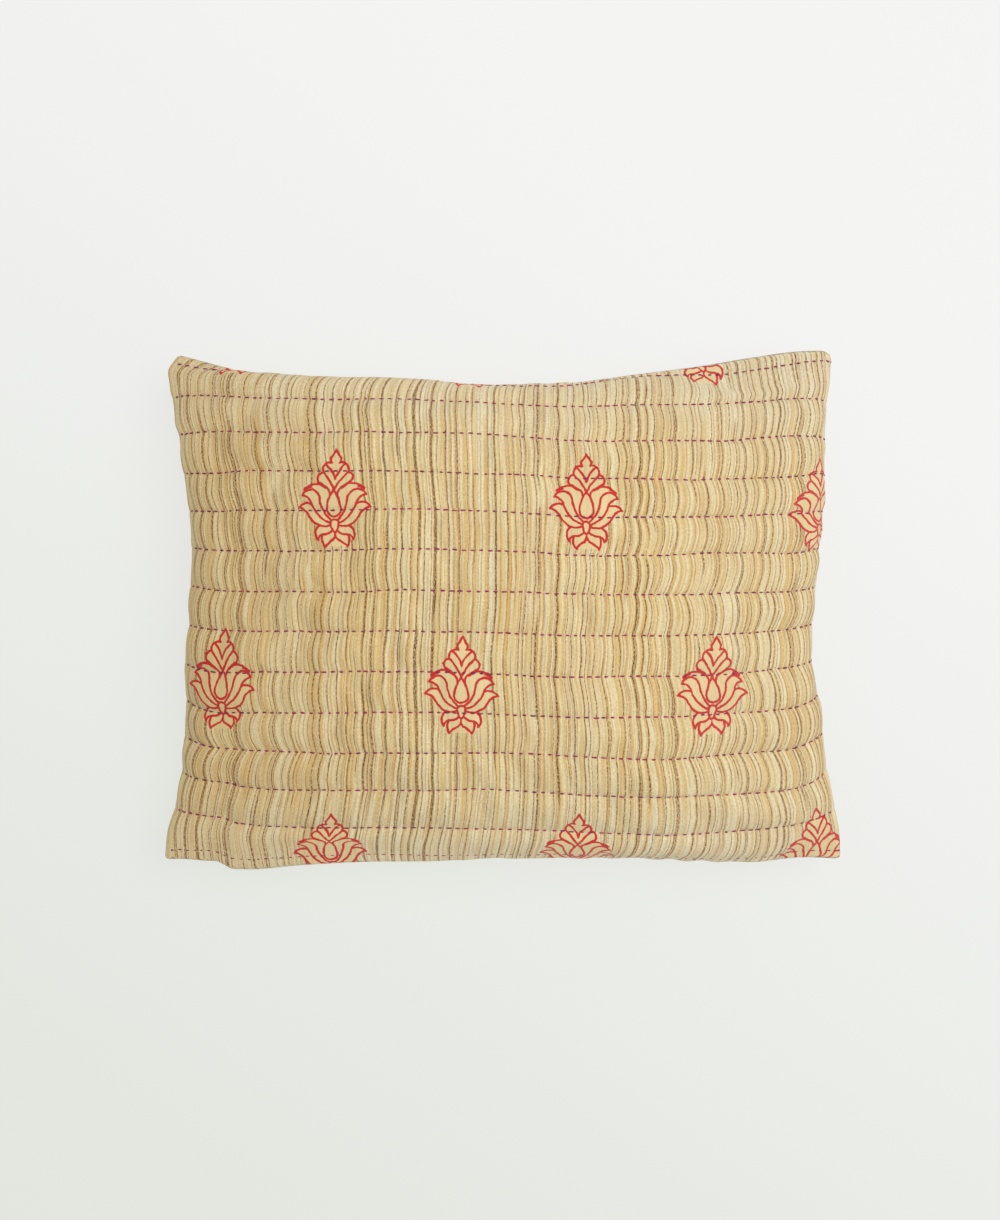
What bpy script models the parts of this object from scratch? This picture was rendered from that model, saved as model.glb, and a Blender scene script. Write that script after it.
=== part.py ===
"""A small lumbar pillow of hand-quilted cotton, lying on its back.

Two panels of the same quilted cloth, front and back, are sewn together all
round in a knife edge and stuffed. Fourteen rows of running stitch cross each
panel and leave soft channels between them. The pillow is one filled solid.

Metres, +Z up. +X runs along the rows to the right and +Y to the top edge.
The origin is on the surface it lies on, under the middle of its box.
"""

import bpy
import numpy as np

MM = 0.001

# Cloth: each panel between its seams, and the quilting on it
CLOTH_LENGTH = 0.406
CLOTH_HEIGHT = 0.305
ROW_COUNT = 14
ROW_MARGIN = 0.006
ROW_PITCH = (CLOTH_HEIGHT - 2 * ROW_MARGIN) / (ROW_COUNT - 1)
PUFF = 0.0034
PUFF_FADE = 0.012
SIDE_SCALLOP = 0.0012

# Filling: how far each panel bulges from the seam before the back is pressed flat
FRONT_RISE = 0.047
BACK_DROP = 0.050

# Seam: the corners, x, y and z, and how much higher it is held between them
CORNERS = {
    "top_left": np.array((-0.1926, 0.1493, 0.030)),
    "top_right": np.array((0.1932, 0.1528, 0.034)),
    "bottom_left": np.array((-0.1991, -0.1469, 0.026)),
    "bottom_right": np.array((0.1991, -0.1481, 0.027)),
}
SEAM_LIFT = 0.015
SIDE_COLUMNS = ("start", "end", "inward")
SIDES = {
    "top": ("top_left", "top_right", (0, -1, 0)),
    "bottom": ("bottom_left", "bottom_right", (0, 1, 0)),
    "left": ("top_left", "bottom_left", (1, 0, 0)),
    "right": ("top_right", "bottom_right", (-1, 0, 0)),
}

# How far the filling draws each side in from the straight line between its
# corners, in millimetres. Less than nothing bulges out. Top and bottom run
# from left to right, left and right from top to bottom.
DRAW_COLUMNS = ("share", "top", "bottom", "left", "right")
DRAW_ROWS = (
    (0.00, 0.0, 0.0, 0.0, 0.0),
    (0.06, 6.0, -3.0, -3.3, 1.5),
    (0.12, 10.5, -5.8, 0.3, 3.0),
    (0.20, 13.0, -4.3, 4.2, 4.2),
    (0.30, 14.4, -1.6, 9.4, 5.8),
    (0.40, 16.0, -0.8, 12.0, 8.8),
    (0.50, 18.3, 1.5, 11.2, 12.0),
    (0.60, 18.1, 1.5, 9.2, 14.5),
    (0.70, 13.5, 0.8, 10.0, 11.0),
    (0.80, 8.5, -0.5, 8.2, 8.0),
    (0.88, 4.0, -0.3, 5.2, 3.0),
    (0.94, 1.0, 1.8, 1.3, 0.3),
    (1.00, 0.0, 0.0, 0.0, 0.0),
)

# Grid of the solid
STEPS_PER_CHANNEL = 4
COLUMN_COUNT = 39
COLUMN_CROWDING = 0.4

CLOTH_COLOUR = (0.66, 0.49, 0.24, 1.0)
CLOTH_ROUGHNESS = 0.9


def clear_scene():
    for obj in list(bpy.data.objects):
        bpy.data.objects.remove(obj, do_unlink=True)


def smooth_curve(at, stations, values):
    """A curve through the stations, with the slope at each taken from its neighbours."""
    slopes = np.gradient(values, stations)
    last = len(stations) - 2
    index = np.clip(np.searchsorted(stations, at, side="right") - 1, 0, last)
    step = stations[index + 1] - stations[index]
    t = (at - stations[index]) / step
    held = values[index] * (1 + 2 * t) * (1 - t) ** 2 + values[index + 1] * t**2 * (3 - 2 * t)
    turned = slopes[index] * t * (1 - t) ** 2 - slopes[index + 1] * t**2 * (1 - t)
    return held + step * turned


def dome(share):
    """Height of the stuffed cloth: 0 at the seams, steep beside them, 1 midway."""
    from_seam = 1.0 - np.abs(2.0 * share - 1.0)
    return (1.0 - (1.0 - from_seam) ** 3) ** 0.6


def share_in_plan(cloth_share, plan_length, rise):
    """Where a share of the cloth's length comes in plan, with the cloth laid over the dome."""
    plan = np.linspace(0.0, 1.0, 4001)
    steps = np.hypot(plan_length * np.diff(plan), rise * np.diff(dome(plan)))
    along = np.concatenate([[0.0], np.cumsum(steps)])
    return np.interp(cloth_share, along / along[-1], plan)


def ripple(down):
    """0 on each stitch row and outside the first and last, 1 midway between two rows."""
    channel = (down * CLOTH_HEIGHT - ROW_MARGIN) / ROW_PITCH
    return np.abs(np.sin(np.pi * np.clip(channel, 0, ROW_COUNT - 1))) ** 0.75


def seam(side, share):
    """Points along one side: the straight line between its corners, drawn in."""
    start, end, inward = SIDES[side]
    table = np.array(DRAW_ROWS)
    draw = smooth_curve(share, table[:, 0], table[:, DRAW_COLUMNS.index(side)]) * MM
    if side in ("left", "right"):
        draw = draw - SIDE_SCALLOP * ripple(share)
    share, draw = share[..., None], draw[..., None]
    return (1 - share) * CORNERS[start] + share * CORNERS[end] + draw * inward


def seam_sheet(right, down):
    """The sheet between the seams: opposite sides blended, less the corners counted twice.

    It is lifted by the same amount everywhere but near the corners.
    """
    r, d = right[..., None], down[..., None]
    between_top_and_bottom = (1 - d) * seam("top", right) + d * seam("bottom", right)
    between_left_and_right = (1 - r) * seam("left", down) + r * seam("right", down)
    corners_twice = (1 - d) * ((1 - r) * CORNERS["top_left"] + r * CORNERS["top_right"])
    corners_twice = corners_twice + d * (
        (1 - r) * CORNERS["bottom_left"] + r * CORNERS["bottom_right"]
    )
    points = between_top_and_bottom + between_left_and_right - corners_twice
    near_corner = (1 - np.sin(np.pi * right) ** 0.8) * (1 - np.sin(np.pi * down) ** 0.8)
    points[..., 2] += SEAM_LIFT * (1 - near_corner)
    return points


def outward_normals(points, facing):
    along = np.gradient(points, axis=1)
    across = np.gradient(points, axis=0)
    normals = np.cross(across, along) * facing
    return normals / np.maximum(np.linalg.norm(normals, axis=-1, keepdims=True), 1e-12)


def panel(cloth_right, cloth_down, rise, facing):
    """One stuffed panel over a grid of cloth shares. It faces up at 1 and down at -1.

    The cloth keeps its length over the dome, so its plan is shorter than the
    cloth: fully so midway between the seams, and not at all on a seam.
    """
    far_right = share_in_plan(cloth_right, CLOTH_LENGTH, rise)
    far_down = share_in_plan(cloth_down, CLOTH_HEIGHT, rise)
    right = cloth_right + (far_right - cloth_right) * dome(cloth_down)
    down = cloth_down + (far_down - cloth_down) * dome(cloth_right)
    points = seam_sheet(right, down)
    points[..., 2] += facing * rise * dome(right) * dome(down)
    to_seam = np.minimum.reduce([
        cloth_right * CLOTH_LENGTH,
        (1 - cloth_right) * CLOTH_LENGTH,
        cloth_down * CLOTH_HEIGHT,
        (1 - cloth_down) * CLOTH_HEIGHT,
    ])
    puff = PUFF * ripple(cloth_down) * np.clip(to_seam / PUFF_FADE, 0, 1)
    return points + puff[..., None] * outward_normals(points, facing)


def cloth_grid():
    """Shares of the cloth at the grid's points, with lines on the rows and more at the sides."""
    lines = np.linspace(ROW_MARGIN, CLOTH_HEIGHT - ROW_MARGIN, (ROW_COUNT - 1) * STEPS_PER_CHANNEL + 1)
    down = np.concatenate([[0.0], lines / CLOTH_HEIGHT, [1.0]])
    even = np.linspace(-1.0, 1.0, COLUMN_COUNT + 1)
    right = 0.5 + 0.5 * even * (1 + COLUMN_CROWDING * (1 - even**2))
    return np.meshgrid(right, down)


def grid_faces(index, turned):
    """Four-sided faces between neighbouring points of a grid of point numbers."""
    corners = (index[:-1, :-1], index[1:, :-1], index[1:, 1:], index[:-1, 1:])
    faces = np.stack([corner.ravel() for corner in corners], axis=-1)
    return faces[:, ::-1] if turned else faces


def cushion_mesh():
    """Front and back panels as one closed mesh that shares its points along the seam."""
    right, down = cloth_grid()
    front = panel(right, down, FRONT_RISE, 1)
    back = panel(right, down, BACK_DROP, -1)
    back[..., 2] = np.maximum(back[..., 2], 0.0)
    inside = np.zeros(right.shape, bool)
    inside[1:-1, 1:-1] = True
    front_index = np.arange(right.size).reshape(right.shape)
    back_index = front_index.copy()
    back_index[inside] = right.size + np.arange(inside.sum())
    points = np.concatenate([front.reshape(-1, 3), back[inside]])
    middle = 0.5 * (points.min(axis=0) + points.max(axis=0))
    points[:, :2] -= middle[:2]
    faces = np.concatenate([grid_faces(front_index, False), grid_faces(back_index, True)])
    mesh = bpy.data.meshes.new("cushion")
    mesh.from_pydata(points.tolist(), [], faces.tolist())
    mesh.shade_smooth()
    return mesh


def cloth_material():
    material = bpy.data.materials.new("striped_cotton")
    material.use_nodes = True
    shader = material.node_tree.nodes["Principled BSDF"]
    shader.inputs["Base Color"].default_value = CLOTH_COLOUR
    shader.inputs["Roughness"].default_value = CLOTH_ROUGHNESS
    shader.inputs["Metallic"].default_value = 0.0
    return material


def main():
    clear_scene()
    cushion = bpy.data.objects.new("cushion", cushion_mesh())
    cushion.data.materials.append(cloth_material())
    bpy.context.scene.collection.objects.link(cushion)


main()
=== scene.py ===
"""The looks of a small lumbar pillow of hand-quilted cotton, lying on its back.

Metres, +Z up. +X runs along the rows of stitches to the right and +Y to the
top edge. The script runs from top to bottom, one section for each piece.
"""

import math

import bpy
import numpy as np
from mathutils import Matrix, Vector


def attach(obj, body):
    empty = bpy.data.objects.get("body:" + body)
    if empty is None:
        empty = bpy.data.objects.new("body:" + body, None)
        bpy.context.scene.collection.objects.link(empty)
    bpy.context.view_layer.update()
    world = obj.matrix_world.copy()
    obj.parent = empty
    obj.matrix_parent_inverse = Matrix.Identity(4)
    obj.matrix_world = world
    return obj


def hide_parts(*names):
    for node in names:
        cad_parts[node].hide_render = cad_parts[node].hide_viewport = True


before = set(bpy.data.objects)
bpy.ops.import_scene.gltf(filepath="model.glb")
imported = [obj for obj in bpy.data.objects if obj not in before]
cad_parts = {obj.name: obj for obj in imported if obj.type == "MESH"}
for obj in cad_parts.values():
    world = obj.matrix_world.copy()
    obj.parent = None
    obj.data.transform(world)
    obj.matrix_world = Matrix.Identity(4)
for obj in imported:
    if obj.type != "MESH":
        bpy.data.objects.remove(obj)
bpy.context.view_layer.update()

# The quilted cover
# Front and back are panels of one striped, block-printed cotton, quilted to a
# thin backing with rows of running stitch, sewn together right round in a
# knife edge and stuffed. The stuffing swells between the rows into channels.

MM = 0.001
CLOTH_LENGTH = 0.406
CLOTH_HEIGHT = 0.305
ROW_COUNT = 14
ROW_MARGIN = 0.006
ROW_PITCH = (CLOTH_HEIGHT - 2 * ROW_MARGIN) / (ROW_COUNT - 1)
PUFF = 0.0026
PUFF_UNEVEN = 0.10
PUFF_POWER = 0.75
PUFF_FADE = 0.012
PUFF_FADE_AT_SIDES = 0.030
SIDE_SWELL = 0.25
FLANK = 0.040
FLANK_SWELL = 0.35
SIDE_SCALLOP = 0.0006
SCALLOP_POWER = 15
FRONT_RISE = 0.047
BACK_DROP = 0.050
PRESSED_BACK = 0.0022
ROW_WANDER = 0.35

# The corners of the seam in metres, and the radius that each is turned out to, in millimetres
CORNERS = {
    "top_left": np.array((-0.1940, 0.1520, 0.030)),
    "top_right": np.array((0.1972, 0.1541, 0.034)),
    "bottom_left": np.array((-0.2028, -0.1500, 0.026)),
    "bottom_right": np.array((0.2028, -0.1496, 0.027)),
}
CORNER_RADIUS = {"top_left": 2.5, "top_right": 8.0, "bottom_left": 3.0, "bottom_right": 3.5}
CORNER_POWER = 0.8
SEAM_LIFT = 0.015
SEAM_CREASE = 0.0006
SIDES = {
    "top": ("top_left", "top_right", (1, 0, 0), (0, -1, 0)),
    "bottom": ("bottom_left", "bottom_right", (1, 0, 0), (0, 1, 0)),
    "left": ("top_left", "bottom_left", (0, -1, 0), (1, 0, 0)),
    "right": ("top_right", "bottom_right", (0, -1, 0), (-1, 0, 0)),
}

# How far the stuffing draws each side in from the straight line between its
# corners, in millimetres. Top and bottom run from left to right, left and
# right from top to bottom. The bulge beside one corner swells the bottom out.
DRAW_COLUMNS = ("share", "top", "bottom", "left", "right", "bulge")
DRAW_ROWS = (
    (0.00, 0.0, 0.0, 0.0, 0.0, 0.0),
    (0.03, 3.3, 0.0, -5.0, 2.2, -0.2),
    (0.06, 6.6, 0.0, -3.3, 3.4, 0.6),
    (0.08, 8.7, 0.0, -2.4, 4.4, 1.0),
    (0.10, 11.0, 0.0, -0.9, 5.4, 5.0),
    (0.12, 13.2, 0.0, 0.3, 6.3, 5.5),
    (0.20, 17.0, -0.5, 5.6, 8.4, 2.4),
    (0.30, 18.6, -0.5, 11.5, 9.7, 0.0),
    (0.40, 20.4, 0.0, 14.3, 13.2, 0.0),
    (0.50, 20.5, 2.1, 13.8, 16.4, 0.0),
    (0.60, 19.4, 2.1, 12.0, 18.5, 0.0),
    (0.70, 14.5, 1.8, 13.0, 13.1, 0.0),
    (0.80, 9.5, -0.1, 11.2, 10.7, 0.0),
    (0.88, 4.2, -0.9, 7.8, 5.7, 0.0),
    (0.94, 0.9, 1.1, 2.6, 2.0, 0.0),
    (1.00, 0.0, 0.0, 0.0, 0.0, 0.0),
)

# Beside the top and bottom seams, from left to right: 1 where the cloth lies
# flat and 0 where it is stuffed round. The last column is how far the front
# swells over the top seam, in millimetres.
EDGE_COLUMNS = ("share", "top", "bottom", "swelling")
EDGE_ROWS = (
    (0.00, 1.0, 1.0, 0.0),
    (0.06, 0.7, 1.0, 1.5),
    (0.12, 0.1, 1.0, 4.8),
    (0.20, 0.0, 0.9, 4.5),
    (0.30, 0.0, 0.9, 3.7),
    (0.40, 0.0, 0.8, 2.4),
    (0.50, 0.2, 0.4, 1.3),
    (0.60, 0.6, 0.3, 0.0),
    (0.70, 0.9, 0.1, 0.0),
    (0.80, 1.0, 0.1, 0.0),
    (0.88, 1.0, 0.3, 0.0),
    (0.94, 1.0, 0.7, 0.0),
    (1.00, 1.0, 1.0, 0.0),
)
ROUND_POWER = 0.6
FLAT_POWER = 1.25
SWELLING_REACH = 0.09
DOME_SAMPLES = 4001

# How far the front cloth has slipped down over the stuffing, in millimetres:
# a line for each share of the way down, a column for each share to the right.
# The back slips with it beside the left and right seams only.
SLIP_RIGHT = (0.0, 0.06, 0.15, 0.25, 0.38, 0.55, 0.70, 0.87, 0.93, 1.0)
SLIP_DOWN = (0.0, 0.02, 0.09, 0.24, 0.39, 0.54, 0.68, 0.83, 0.91, 0.98, 1.0)
SLIP = (
    (0.0, 0.0, 0.0, 0.0, 0.0, 0.0, 0.0, 0.0, 0.0, 0.0),
    (0.0, -1.6, -1.4, -1.6, -1.4, 0.2, -4.6, 8.6, 7.0, 2.0),
    (-1.0, -4.4, -4.8, -5.0, -5.1, -2.5, 0.3, 4.8, 4.3, 4.5),
    (0.0, -0.4, -5.1, -4.9, -5.1, -1.9, 3.2, 6.6, 7.3, 2.4),
    (-1.2, -1.4, -5.2, -6.4, -7.8, -4.0, 0.7, 3.0, 5.4, 0.2),
    (-1.0, -1.1, -4.8, -6.4, -7.2, -4.3, -0.4, 1.8, 3.0, -0.6),
    (-2.4, 1.4, -4.3, -6.1, -8.1, -4.5, -1.9, 0.1, 2.0, -4.2),
    (-4.0, -2.2, -3.7, -3.6, -4.9, -4.6, -0.3, 0.3, 3.4, -5.0),
    (-4.2, -2.2, -1.6, -0.3, -1.3, -0.6, 2.1, 1.8, 2.8, -3.0),
    (-1.0, -3.1, -3.2, -2.8, -1.6, -1.2, -0.1, 0.6, 0.8, 0.0),
    (0.0, 0.0, 0.0, 0.0, 0.0, 0.0, 0.0, 0.0, 0.0, 0.0),
)
BACK_SLIP_REACH = 0.040

# How far each row's thread draws the cloth to the right along it, in
# millimetres, laid out in the same way, and how much more the tight row does
PULL_RIGHT = (0.0, 0.15, 0.35, 0.47, 0.60, 0.72, 0.85, 1.0)
PULL_DOWN = (0.0, 0.3, 0.6, 0.75, 0.9, 1.0)
PULL = (
    (0.9, 0.8, 0.3, 0.0, -0.8, -1.4, -1.5, -1.5),
    (0.9, 0.8, 0.3, 0.0, -1.0, -1.6, -1.6, -1.6),
    (0.9, 0.8, 0.3, 0.0, -0.7, -1.2, -1.6, -1.6),
    (0.8, 0.8, 0.3, 0.0, -0.3, -0.5, -1.6, -1.6),
    (0.5, 0.5, 0.2, 0.0, -0.2, -0.3, -0.8, -0.8),
    (0.3, 0.3, 0.1, 0.0, -0.2, -0.3, -0.5, -0.5),
)
PULL_UNEVEN = 0.35
PULL_FADE = 0.020
SWELL_BACK = 1.2
TIGHT_ROW = 10
TIGHT_RIGHT = (0.0, 0.2, 0.34, 0.62, 0.78, 1.0)
TIGHT_PULL = (2.3, 2.3, 0.3, -0.3, -1.3, -1.3)

# How far the front cloth has slid to the right, in millimetres
SLIDE_RIGHT = (0.0, 0.13, 0.25, 0.38, 0.46, 0.55, 0.70, 0.87, 1.0)
SLIDE_DOWN = (0.0, 0.02, 0.09, 0.16, 0.68, 0.76, 0.83, 0.91, 0.98, 1.0)
SLIDE = (
    (0.0, 6.8, 7.2, 4.6, 2.4, 0.4, -0.8, -2.4, 0.0),
    (0.0, 5.2, 5.6, 3.6, 1.8, 0.2, -0.6, -1.8, 0.0),
    (0.0, 0.0, 0.0, 0.0, 0.0, 0.0, 0.0, 0.0, 0.0),
    (0.0, 0.0, 0.0, 0.0, 0.0, 0.0, 0.0, 0.0, 0.0),
    (0.0, 0.0, 0.0, 0.0, 0.0, 0.0, 0.0, 0.0, 0.0),
    (0.0, 0.0, 0.0, 0.0, 0.0, 0.0, 0.0, 0.0, 0.0),
    (0.0, -0.5, -0.5, -0.3, 0.0, 0.0, 0.0, 0.0, 0.0),
    (0.0, -3.5, -3.0, -2.3, -2.3, -2.0, -2.3, -1.5, 0.0),
    (0.0, -2.0, -3.5, -4.6, -4.6, -4.5, -6.0, -5.0, 0.0),
    (0.0, -2.0, -3.5, -4.8, -5.0, -5.0, -7.0, -6.0, 0.0),
)

# Random fields over the cloth: a seed, and how many steps there are down it and along it
WANDER_FIELD = (3, 13, 11)
PUFF_FIELD = (8, 13, 15)
GATHER_FIELD = (20, 34, 46)
PULL_FIELD = (60, 13, 9)


def smooth_curve(at, stations, values):
    """A curve through the values at the stations, each slope taken from the neighbours."""
    stations, values = np.asarray(stations), np.asarray(values)
    slopes = np.gradient(values, stations, axis=0)
    index = np.clip(np.searchsorted(stations, at, side="right") - 1, 0, len(stations) - 2)
    shape = np.shape(at) + (1,) * (values.ndim - 1)
    step = (stations[index + 1] - stations[index]).reshape(shape)
    t = (at - stations[index]).reshape(shape) / step
    held = values[index] * (1 + 2 * t) * (1 - t) ** 2 + values[index + 1] * t**2 * (3 - 2 * t)
    turned = slopes[index] * t * (1 - t) ** 2 - slopes[index + 1] * t**2 * (1 - t)
    return held + step * turned


def smooth_field(down, right, down_stations, right_stations, values):
    """A smooth curve down each column of values, then along each line of the result."""
    columns = smooth_curve(down, down_stations, values)
    return np.moveaxis(smooth_curve(right, right_stations, np.moveaxis(columns, 1, 0)), 0, 1)


def column_curve(columns, rows, column, share):
    """A smooth curve through one column of a table, over its shares along a side."""
    table = np.array(rows)
    return smooth_curve(share, table[:, 0], table[:, columns.index(column)])


def random_field(field, facing, down, right):
    """Random numbers of spread 1 on a coarse grid of shares, with smooth curves between them."""
    seed, steps_down, steps_right = field
    values = np.random.default_rng(seed + facing).normal(size=(steps_down + 1, steps_right + 1))
    down_stations = np.linspace(0, 1, steps_down + 1)
    right_stations = np.linspace(0, 1, steps_right + 1)
    return smooth_field(down, right, down_stations, right_stations, values)


def dome(share, power=ROUND_POWER):
    """Height of the stuffed cloth: 0 at the seams, steep beside them, 1 midway."""
    from_seam = 1.0 - np.abs(2.0 * share - 1.0)
    return (1.0 - (1.0 - from_seam) ** 3) ** power


def share_in_plan(cloth_share, plan_length, rise, power=ROUND_POWER):
    """Where a share of the cloth's length comes in plan, with the cloth laid over the dome."""
    plan = np.linspace(0.0, 1.0, DOME_SAMPLES)
    steps = np.hypot(plan_length * np.diff(plan), rise * np.diff(dome(plan, power)))
    along = np.concatenate([[0.0], np.cumsum(steps)])
    return np.interp(cloth_share, along / along[-1], plan)


def channel_place(down):
    """Shares of the cloth down it counted in channels: 0 on the first row, 1 on the second."""
    return np.clip((down * CLOTH_HEIGHT - ROW_MARGIN) / ROW_PITCH, 0, ROW_COUNT - 1)


def ripple(down):
    """0 on each stitch row and outside the first and last, 1 midway between two rows."""
    return np.abs(np.sin(np.pi * channel_place(down))) ** PUFF_POWER


def round_off(distance, radius):
    """(along, inward) from a sharp corner to a point on the quarter circle that replaces it.

    The point starts in the middle of the quarter circle and reaches the
    straight side one radius from the corner.
    """
    start = radius * (1 - math.sqrt(0.5))
    along = start * np.exp(-distance / radius)
    short = np.clip(radius - distance - along, 0, radius)
    return along, radius - np.sqrt(radius**2 - short**2)


def seam(side, share):
    """Points along one side: the straight line between its corners, drawn in and rounded off."""
    start, end, forward, inward = SIDES[side]
    draw = column_curve(DRAW_COLUMNS, DRAW_ROWS, side, share) * MM
    length = np.linalg.norm(CORNERS[end] - CORNERS[start])
    near_start, in_start = round_off(share * length, CORNER_RADIUS[start] * MM)
    near_end, in_end = round_off((1 - share) * length, CORNER_RADIUS[end] * MM)
    draw = draw + in_start + in_end
    share, draw = share[..., None], draw[..., None]
    line = (1 - share) * CORNERS[start] + share * CORNERS[end]
    return line + draw * inward + (near_start - near_end)[..., None] * forward


def seam_sheet(right, down):
    """The sheet between the seams: top and bottom blended, and bent to follow each side.

    It is lifted by the same amount everywhere but near the corners.
    """
    r, d = right[..., None], down[..., None]
    points = (1 - d) * seam("top", right) + d * seam("bottom", right)
    for side, corner, nearness in (("left", 0.0, 1 - r), ("right", 1.0, r)):
        top_tip, bottom_tip = (seam(end, np.array(corner)) for end in ("top", "bottom"))
        straight = (1 - d) * top_tip + d * bottom_tip
        points = points + nearness**2 * (seam(side, down) - straight)
    bulge = column_curve(DRAW_COLUMNS, DRAW_ROWS, "bulge", right)
    points[..., 1] -= MM * bulge * down**4
    near_side, near_end = (1 - np.sin(np.pi * share) ** CORNER_POWER for share in (right, down))
    points[..., 2] += SEAM_LIFT * (1 - near_side * near_end)
    return points


def unit(vectors):
    """Each vector divided by its length."""
    return vectors / np.maximum(np.linalg.norm(vectors, axis=-1, keepdims=True), 1e-12)


def outward_normals(points, facing):
    """The direction across both grid lines at each point, up at 1 and down at -1."""
    return unit(np.cross(np.gradient(points, axis=0), np.gradient(points, axis=1)) * facing)


def to_ends(lines, length):
    """How far each line of cloth shares is from the nearer end, along the cloth."""
    return np.minimum(lines, 1 - lines) * length


def distance_to_seam(right, down):
    """How far each point of the cloth is from the nearest seam, along the cloth."""
    return np.minimum(to_ends(down, CLOTH_HEIGHT)[:, None], to_ends(right, CLOTH_LENGTH)[None, :])


def fade_in(distance, reach):
    """0 on a seam, and 1 from one reach inside it."""
    return np.clip(distance / reach, 0, 1)


def eased(share):
    """A quarter of a sine wave: steep from 0, and level at 1."""
    return np.sin(0.5 * np.pi * share)


def drawn_along(right_lines, down_lines, facing):
    """How far each point of the cloth has moved to the right, drawn by its row's thread.

    On a row it moves by the row's pull. Between two rows the pull dies away as
    a square from each, and the free cloth swells back. The front also slides.
    """
    rows = (ROW_MARGIN + ROW_PITCH * np.arange(ROW_COUNT)) / CLOTH_HEIGHT
    pull = smooth_field(rows, right_lines, PULL_DOWN, PULL_RIGHT, PULL)
    pull = pull * (1 + PULL_UNEVEN * random_field(PULL_FIELD, facing, rows, right_lines))
    pull[TIGHT_ROW] += smooth_curve(right_lines, TIGHT_RIGHT, TIGHT_PULL)
    channel = channel_place(down_lines)
    above = np.minimum(channel.astype(int), ROW_COUNT - 2)
    first, second, t = pull[above], pull[above + 1], (channel - above)[:, None]
    moved = first * (1 - t) ** 2 + second * t**2 - SWELL_BACK * t * (1 - t) * (first + second)
    moved = moved * fade_in(to_ends(down_lines, CLOTH_HEIGHT), PUFF_FADE)[:, None]
    moved = moved * eased(fade_in(to_ends(right_lines, CLOTH_LENGTH), PULL_FADE))
    if facing > 0:
        moved = moved + smooth_field(down_lines, right_lines, SLIDE_DOWN, SLIDE_RIGHT, SLIDE)
    return MM * moved


def panel(right_lines, down_lines, facing):
    """One stuffed panel over lines of cloth shares. It faces up at 1 and down at -1.

    The cloth keeps its length over the dome, so its plan is shorter than the
    cloth: fully so midway between the seams, and not at all on a seam. The
    channels are raised along the normals of the smooth surface.
    """
    rise = FRONT_RISE if facing > 0 else BACK_DROP
    cloth_right, cloth_down = np.meshgrid(right_lines, down_lines)
    flat_top, flat_bottom, swelling = (
        column_curve(EDGE_COLUMNS, EDGE_ROWS, column, right_lines) for column in EDGE_COLUMNS[1:]
    )
    flat = np.where(cloth_down < 0.5, flat_top, flat_bottom)
    far_right = share_in_plan(cloth_right, CLOTH_LENGTH, rise)
    far_down = (1 - flat) * share_in_plan(cloth_down, CLOTH_HEIGHT, rise)
    far_down = far_down + flat * share_in_plan(cloth_down, CLOTH_HEIGHT, rise, FLAT_POWER)
    right = cloth_right + (far_right - cloth_right) * dome(cloth_down)
    down = cloth_down + (far_down - cloth_down) * dome(cloth_right)
    inside = fade_in(distance_to_seam(right_lines, down_lines), PUFF_FADE)
    from_sides = to_ends(right_lines, CLOTH_LENGTH)
    from_top_and_bottom = to_ends(down_lines, CLOTH_HEIGHT)
    wander = ROW_WANDER * random_field(WANDER_FIELD, facing, down_lines, right_lines)
    slip = smooth_field(down_lines, right_lines, SLIP_DOWN, SLIP_RIGHT, SLIP)
    if facing < 0:
        slip = slip * (1 - fade_in(from_sides, BACK_SLIP_REACH)) ** 2
    slip = slip * fade_in(from_top_and_bottom, PUFF_FADE)[:, None]
    down = down + MM * (wander * inside + slip) / CLOTH_HEIGHT
    right = right + drawn_along(right_lines, down_lines, facing) / CLOTH_LENGTH
    points = seam_sheet(right, down)
    points[..., 0] += SIDE_SCALLOP * ripple(cloth_down) * (2 * cloth_right - 1) ** SCALLOP_POWER
    height = (1 - flat) * dome(down) + flat * dome(down, FLAT_POWER)
    points[..., 2] += facing * rise * dome(right) * height
    if facing > 0:
        near_top = fade_in(cloth_down, SWELLING_REACH)
        points[..., 1] += MM * swelling * np.sin(np.pi * near_top) ** 2
    else:
        points[..., 2] = np.maximum(points[..., 2], PRESSED_BACK)
    uneven = 1 + PUFF_UNEVEN * random_field(PUFF_FIELD, facing, down_lines, right_lines)
    swell = SIDE_SWELL + (1 - SIDE_SWELL) * eased(fade_in(from_sides, PUFF_FADE_AT_SIDES))
    flank = fade_in(from_top_and_bottom, FLANK)
    swell = swell * (FLANK_SWELL + (1 - FLANK_SWELL) * flank**2)[:, None]
    puff = PUFF * uneven * ripple(cloth_down) * inside * swell
    points = points + puff[..., None] * outward_normals(points, facing)
    points[..., 2] = np.maximum(points[..., 2], 0.0)
    return points


def down_lines_of(steps, margin_steps, crowding):
    """Shares of the cloth down it: a line on each row, and lines closer together beside a row."""
    index = np.linspace(0, ROW_COUNT - 1, (ROW_COUNT - 1) * steps + 1)
    inner = index - crowding * np.sin(2 * np.pi * index) / (2 * np.pi)
    first = np.linspace(0, ROW_MARGIN, margin_steps + 1)[:-1]
    lines = [first, ROW_MARGIN + ROW_PITCH * inner, CLOTH_HEIGHT - first[::-1]]
    return np.concatenate(lines) / CLOTH_HEIGHT


def two_panels(shape):
    """Point numbers of the front and back grids, which share the points of the seam."""
    front = np.arange(shape[0] * shape[1]).reshape(shape)
    back = front.copy()
    inner = back[1:-1, 1:-1]
    inner[:] = front.size + np.arange(inner.size).reshape(inner.shape)
    return front, back


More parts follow.
